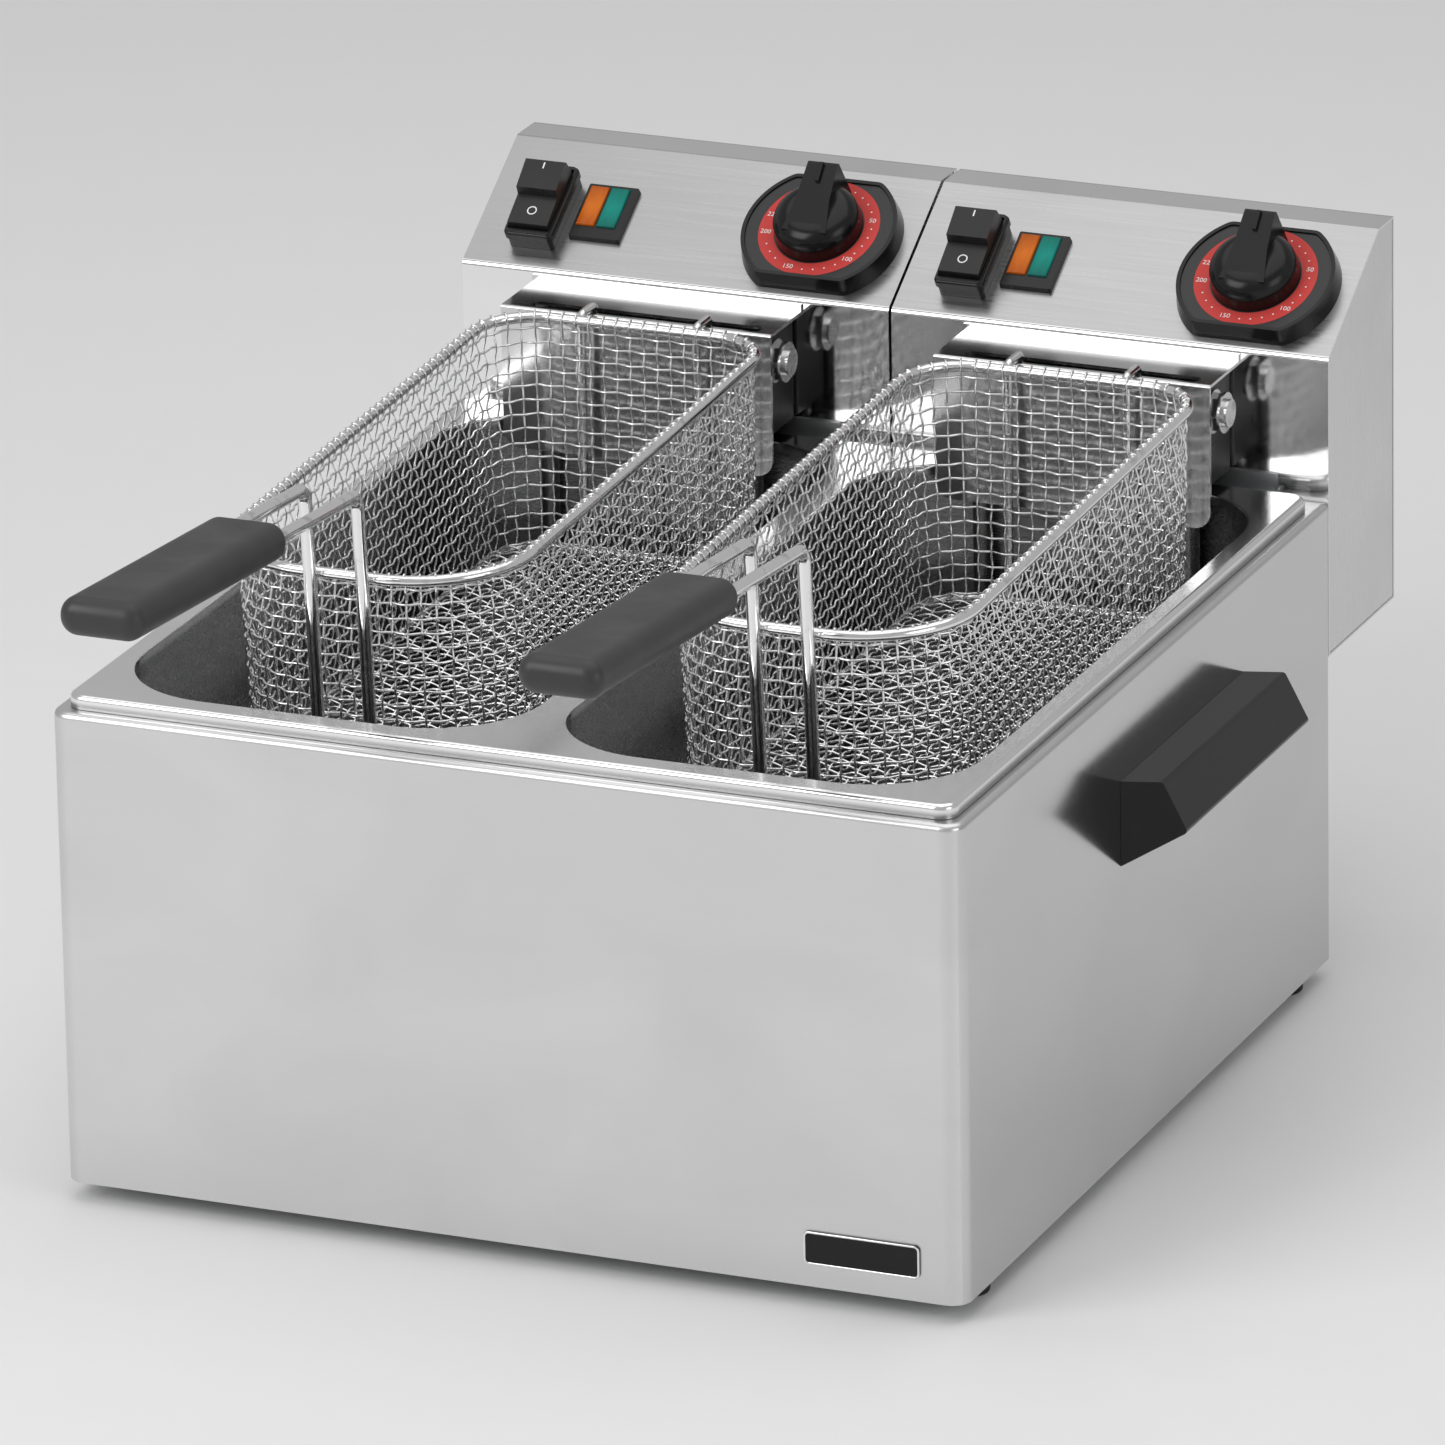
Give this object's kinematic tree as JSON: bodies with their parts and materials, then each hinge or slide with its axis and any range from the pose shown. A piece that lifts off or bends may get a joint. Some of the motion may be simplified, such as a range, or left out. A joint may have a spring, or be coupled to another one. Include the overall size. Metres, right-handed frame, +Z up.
{
  "type": "deep fryer",
  "caption": "Twin-well countertop electric deep fryer with lift-out tank, sloping control heads with dials, lamps and rockers, and wire baskets with long handles",
  "frame": {"origin": "on the worktop under the middle of the bounding box, with the baskets' handles in front", "axes": "+Z up, +X to the right as seen from the front, -Y towards the cook and the baskets' grips, +Y towards the control heads"},
  "size_m": [0.481, 0.6998, 0.3473],
  "materials": {
    "housing_steel": "bright brushed stainless sheet",
    "galvanised_sheet": "plain galvanised sheet",
    "feet_rubber": "matt black rubber",
    "handle_plastic": "glossy black moulding",
    "screw_steel": "plain steel",
    "badge": "black plate with a silver edge and no lettering",
    "tank_steel": "pressed stainless, dull in the wells",
    "head_steel": "satin stainless panel, bright front",
    "guard_steel": "polished stainless",
    "terminal_plastic": "black moulding",
    "element_steel": "dark stainless tube",
    "bulb_copper": "nickel-plated drawn copper",
    "ceramic_body": "pale moulded body",
    "gland_plastic": "black moulding",
    "switch_plastic": "black moulding",
    "reset_plastic": "red moulding",
    "amber_lens": "clear orange moulding",
    "green_lens": "clear green moulding",
    "bezel_plastic": "glossy black moulding",
    "dial_plastic": "dark grey face with a red ring",
    "knob_plastic": "satin black moulding",
    "basket_wire": "woven tinned wire",
    "frame_wire": "polished wire",
    "rod_chrome": "chromed wire",
    "grip_plastic": "soft satin black moulding"
  },
  "bodies": {
    "housing": {"housing": "housing_steel", "base_plate": "galvanised_sheet", "feet": "feet_rubber", "handle_left": "handle_plastic", "handle_right": "handle_plastic", "handle_screws": "screw_steel", "badge_plate": "badge"},
    "tank": {"tank": "tank_steel"},
    "head_left": {"left_head_shell": "head_steel", "left_head_back_cover": "head_steel", "left_head_end_plates": "head_steel", "left_head_screws": "screw_steel", "left_hanger": "galvanised_sheet", "left_guard": "guard_steel", "left_terminal_box": "terminal_plastic", "left_terminal_gland": "terminal_plastic", "left_heating_element": "element_steel", "left_thermostat_bulb": "bulb_copper", "left_thermostat": "ceramic_body", "left_limiter": "ceramic_body", "left_cable_gland": "gland_plastic", "left_switch_boot": "switch_plastic", "left_lamp_bezel": "switch_plastic", "left_lamp_amber": "amber_lens", "left_lamp_green": "green_lens", "left_dial_bezel": "bezel_plastic", "left_dial_plate": "dial_plastic"},
    "knob_left": {"left_knob": "knob_plastic"},
    "rocker_left": {"left_rocker": "switch_plastic"},
    "reset_left": {"left_reset_button": "reset_plastic"},
    "basket_left": {"left_basket_mesh": "basket_wire", "left_basket_frame": "frame_wire", "left_handle_rods": "rod_chrome", "left_grip": "grip_plastic"},
    "head_right": {"right_head_shell": "head_steel", "right_head_back_cover": "head_steel", "right_head_end_plates": "head_steel", "right_head_screws": "screw_steel", "right_hanger": "galvanised_sheet", "right_guard": "guard_steel", "right_terminal_box": "terminal_plastic", "right_terminal_gland": "terminal_plastic", "right_heating_element": "element_steel", "right_thermostat_bulb": "bulb_copper", "right_thermostat": "ceramic_body", "right_limiter": "ceramic_body", "right_cable_gland": "gland_plastic", "right_switch_boot": "switch_plastic", "right_lamp_bezel": "switch_plastic", "right_lamp_amber": "amber_lens", "right_lamp_green": "green_lens", "right_dial_bezel": "bezel_plastic", "right_dial_plate": "dial_plastic"},
    "knob_right": {"right_knob": "knob_plastic"},
    "rocker_right": {"right_rocker": "switch_plastic"},
    "reset_right": {"right_reset_button": "reset_plastic"},
    "basket_right": {"right_basket_mesh": "basket_wire", "right_basket_frame": "frame_wire", "right_handle_rods": "rod_chrome", "right_grip": "grip_plastic"}
  },
  "joints": [
    {"name": "tank_lift", "type": "slide", "parent": "housing", "child": "tank", "axis": [0, 0, 1], "range_m": [0, 0.18]},
    {"name": "head_left_lift", "type": "slide", "parent": "tank", "child": "head_left", "axis": [0, 0, 1], "range_m": [0, 0.18]},
    {"name": "knob_left_turn", "type": "hinge", "parent": "head_left", "child": "knob_left", "pos_m": [-0.0445, 0.29355, 0.31051], "axis": [0, 0.5299, -0.848], "range_deg": [0, 285]},
    {"name": "rocker_left_tip", "type": "hinge", "parent": "head_left", "child": "rocker_left", "pos_m": [-0.179, 0.2882, 0.31247], "axis": [-1, 0, 0], "range_deg": [0, 12]},
    {"name": "reset_left_push", "type": "slide", "parent": "head_left", "child": "reset_left", "axis": [0, 0, 1], "range_m": [0, 0.0025], "stiffness_N_per_m": 300},
    {"name": "basket_left_lift", "type": "slide", "parent": "head_left", "child": "basket_left", "axis": [0, 0, 1], "range_m": [0, 0.14]},
    {"name": "head_right_lift", "type": "slide", "parent": "tank", "child": "head_right", "axis": [0, 0, 1], "range_m": [0, 0.18]},
    {"name": "knob_right_turn", "type": "hinge", "parent": "head_right", "child": "knob_right", "pos_m": [0.1655, 0.29355, 0.31051], "axis": [0, 0.5299, -0.848], "range_deg": [0, 285]},
    {"name": "rocker_right_tip", "type": "hinge", "parent": "head_right", "child": "rocker_right", "pos_m": [0.031, 0.2882, 0.31247], "axis": [-1, 0, 0], "range_deg": [0, 12]},
    {"name": "reset_right_push", "type": "slide", "parent": "head_right", "child": "reset_right", "axis": [0, 0, 1], "range_m": [0, 0.0025], "stiffness_N_per_m": 300},
    {"name": "basket_right_lift", "type": "slide", "parent": "head_right", "child": "basket_right", "axis": [0, 0, 1], "range_m": [0, 0.14]}
  ]
}
